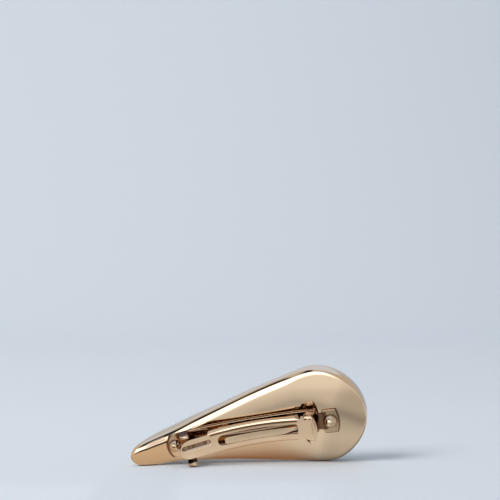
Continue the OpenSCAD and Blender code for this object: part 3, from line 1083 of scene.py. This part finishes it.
# The lit sheet in millimetres: x to the right, away towards the camera. A setting for growth is
# (most, start, end), as there
litSheet = {
    "sides": [-90, 90, 91],
    "aways": [262, -8, 136],
    "height": 0.4,
    "tone": (0.98, 1.0, 1.03),
    # Painted light and shade on the sheet: warm bounce light from the clip's gold, and a brown shadow
    # under the clip
    "warmTone": (1.0, 0.84, 0.68),
    "underTone": (0.34, 0.2, 0.13),
    "level": 0.66,
    "shore": 19.0,
    "shoreSlope": 0.47,
    "shoreSides": [-12, 13],
    "shoreLevel": [0.22, -2, 5],
    "farLevel": [0.1, 6, 18],
    "closeLevel": [0.1, 1, 9],
    "closeFade": [9, 16],
    "rightDim": [0.16, 25.5, 29.5],
    "arc": [[0, 19.5], [8, 22], [15, 25.5], [21, 24.5], [27, 21.5], [33, 19.5], [38, 17.5]],
    "arcHalf": 2.6,
    "arcDark": [0.36, -4, 6],
    "leftDim": [0.1, 22, 30],
    "leftFade": [0.5, 5, 16],
    "start": [-7, 2],
    "warmLeft": [20, 30],
    "warmMore": [0.1, 24, 34],
    "warmClose": 0.75,
    "warmAways": [2, 11],
    "warmSides": [-14, 14, 7],
    "warmDim": 0.12,
    "under": 0.75,
    "underAways": [-3, 4],
    "underSides": [-18, 22, 7],
    "whiteAways": [41, 46],
    "whiteSides": [20, 30],
    "dark": 0.93,
    "darkAways": [14, 100, 4],
    "darkSides": [-52, -24, 3],
}


def blendTone(under, tone, share):
    # From the tone underneath to another one, by the share at each place
    return under + (np.asarray(tone) - under) * share[..., None]


def domeTones(side, rise, r):
    # Reflectors by side angle (0 towards the camera, right positive) and height angle, in degrees
    tone = np.zeros(side.shape + (3,)) + r["air"]
    tone = blendTone(tone, r["behind"], ease(np.abs(side), *r["behindSides"]))
    for name, start, end, soft, fade0, fade1 in r["bands"]:
        tone = blendTone(tone, r[name], between(side, start, end, soft) * (1 - ease(rise, fade0, fade1)))
    tone = blendTone(tone, r["gap"], between(side, *r["gapSides"]) * between(rise, *r["gapRises"]))
    return blendTone(tone, r["sky"], ease(rise, *r["skyRises"]))


def sheetTones(x, away, s):
    # The lit sheet, painted with the floor's light and shade: brighter away from the clip, a soft painted
    # dark arc, dim at both sides
    shore0, shore1 = s["shoreSides"]
    shore = away - s["shore"] - s["shoreSlope"] * np.clip(x - shore0, 0, shore1 - shore0)
    level = s["level"] + growth(s["shoreLevel"], shore) + growth(s["farLevel"], shore)
    level = level + growth(s["closeLevel"], away) * (1 - ease(away, *s["closeFade"]))
    level = level - growth(s["rightDim"], x)
    arc = np.interp(x, *np.transpose(s["arc"]))
    level = level * (1 - np.exp(-(((away - arc) / s["arcHalf"]) ** 2)) * growth(s["arcDark"], x))
    level = level * (1 - growth(s["leftDim"], -x) * (1 - growth(s["leftFade"], away)))
    tone = (level * ease(away, *s["start"]))[..., None] * np.asarray(s["tone"])
    # Painted warm light at the left and close in front of the clip, where its gold shines onto the sheet
    close = s["warmClose"] * (1 - ease(away, *s["warmAways"])) * between(x, *s["warmSides"])
    warm = np.maximum(ease(-x, *s["warmLeft"]), close) + growth(s["warmMore"], -x)
    tone = tone * (1 + (np.asarray(s["warmTone"]) - 1) * warm[..., None])
    tone = tone * (1 - s["warmDim"] * close[..., None])
    # A painted shadow just under the clip, brown from its gold
    under = (1 - ease(away, *s["underAways"])) * between(x, *s["underSides"])
    tone = blendTone(tone, s["underTone"], s["under"] * under)
    # A white card far out, and a dark one before the tip
    white = ease(away, *s["whiteAways"]) * (1 - ease(x, *s["whiteSides"]))
    tone = blendTone(tone, reflectors["white"], white)
    dark = between(away, *s["darkAways"]) * between(x, *s["darkSides"])
    return blendTone(tone, reflectors["gap"], s["dark"] * dark)


def glowCard(name, grid, tones):
    # A stage piece that only mirror rays see, its glow kept as a colour at each corner
    glow = bpy.data.materials.new(name)
    glow.use_nodes = True
    glow.node_tree.nodes.clear()
    kept = node(glow.node_tree, "ShaderNodeAttribute", attribute_name="glow")
    emit = node(glow.node_tree, "ShaderNodeEmission")
    out = node(glow.node_tree, "ShaderNodeOutputMaterial")
    glow.node_tree.links.new(kept.outputs["Color"], emit.inputs["Color"])
    glow.node_tree.links.new(emit.outputs["Emission"], out.inputs["Surface"])
    piece = stagePiece(name, grid, glow)
    colours = piece.data.attributes.new("glow", "FLOAT_COLOR", "POINT")
    full = np.concatenate([tones, np.ones(tones.shape[:-1] + (1,))], axis=-1)
    colours.data.foreach_set("color", full.ravel())
    piece.visible_camera = False
    piece.visible_diffuse = False
    piece.visible_shadow = False
    piece.visible_transmission = False


side, rise = np.meshgrid(np.linspace(*reflectors["sides"]), np.linspace(*reflectors["rises"]))
turn, climb = np.radians(side), np.radians(rise)
ball = np.stack([np.cos(climb) * np.sin(turn), -np.cos(climb) * np.cos(turn), np.sin(climb)], axis=-1)
glowCard(
    "reflector_dome", ball * reflectors["radius"] + reflectors["middle"],
    domeTones(side, rise, reflectors),
)
sheetX, away = np.meshgrid(np.linspace(*litSheet["sides"]), np.linspace(*litSheet["aways"]))
glowCard(
    "bright_sheet", np.stack([sheetX, -away, 0 * sheetX + litSheet["height"]], axis=-1) * mm,
    sheetTones(sheetX, away, litSheet),
)

# Two soft lights, and a little light from all round
lights = {
    "key": {"at": (-1.45, -1.2, 1.5), "size": 1.3, "watts": 47.0, "tone": (1.0, 0.985, 0.96)},
    "top": {"at": (0.1, -0.3, 2.3), "size": 2.0, "watts": 15.0, "tone": (0.95, 0.98, 1.0)},
}
air = {
    "tone": (0.585, 0.65, 0.725, 1),
    "strength": 0.385,
}
for name, lamp in lights.items():
    data = bpy.data.lights.new(name, "AREA")
    data.shape = "DISK"
    data.size = lamp["size"]
    data.energy = lamp["watts"]
    data.color = lamp["tone"]
    thing = bpy.data.objects.new(name, data)
    away = np.array(lamp["at"]) / np.linalg.norm(lamp["at"])
    aside = np.cross([0.0, 1.0, 0.0], away)
    aside = aside / np.linalg.norm(aside)
    up = np.cross(away, aside)
    turn = np.eye(4)
    turn[:3, :3] = np.stack([aside, up, away], axis=-1)
    turn[:3, 3] = lamp["at"]
    thing.matrix_world = Matrix(turn.tolist())
    thing.visible_glossy = False
    bpy.context.scene.collection.objects.link(thing)

world = bpy.data.worlds.new("studio air")
world.use_nodes = True
world.node_tree.nodes["Background"].inputs["Color"].default_value = air["tone"]
world.node_tree.nodes["Background"].inputs["Strength"].default_value = air["strength"]
bpy.context.scene.world = world
bpy.context.scene.view_settings.view_transform = "Standard"
print("studio set")

# The camera as it stood for the photograph
view = {
    "place": (0.00199, -0.45085, 0.06723),
    "look": (-0.00138, 0.99949, 0.03191),
    "up": (0.01465, -0.03189, 0.99938),
    "angle": 24.0,
    "sensor": 36.0,
    "nearest": 0.01,
}
lens = bpy.data.cameras.new("camera")
lens.sensor_width = view["sensor"]
lens.lens = lens.sensor_width / 2 / math.tan(math.radians(view["angle"] / 2))
lens.clip_start = view["nearest"]
camera = bpy.data.objects.new("camera", lens)
bpy.context.scene.collection.objects.link(camera)
look, up = np.array(view["look"]), np.array(view["up"])
stand = np.eye(4)
stand[:3, :3] = np.stack([np.cross(look, up), up, -look], axis=-1)
stand[:3, 3] = view["place"]
camera.matrix_world = Matrix(stand.tolist())
bpy.context.scene.camera = camera

bpy.context.view_layer.update()
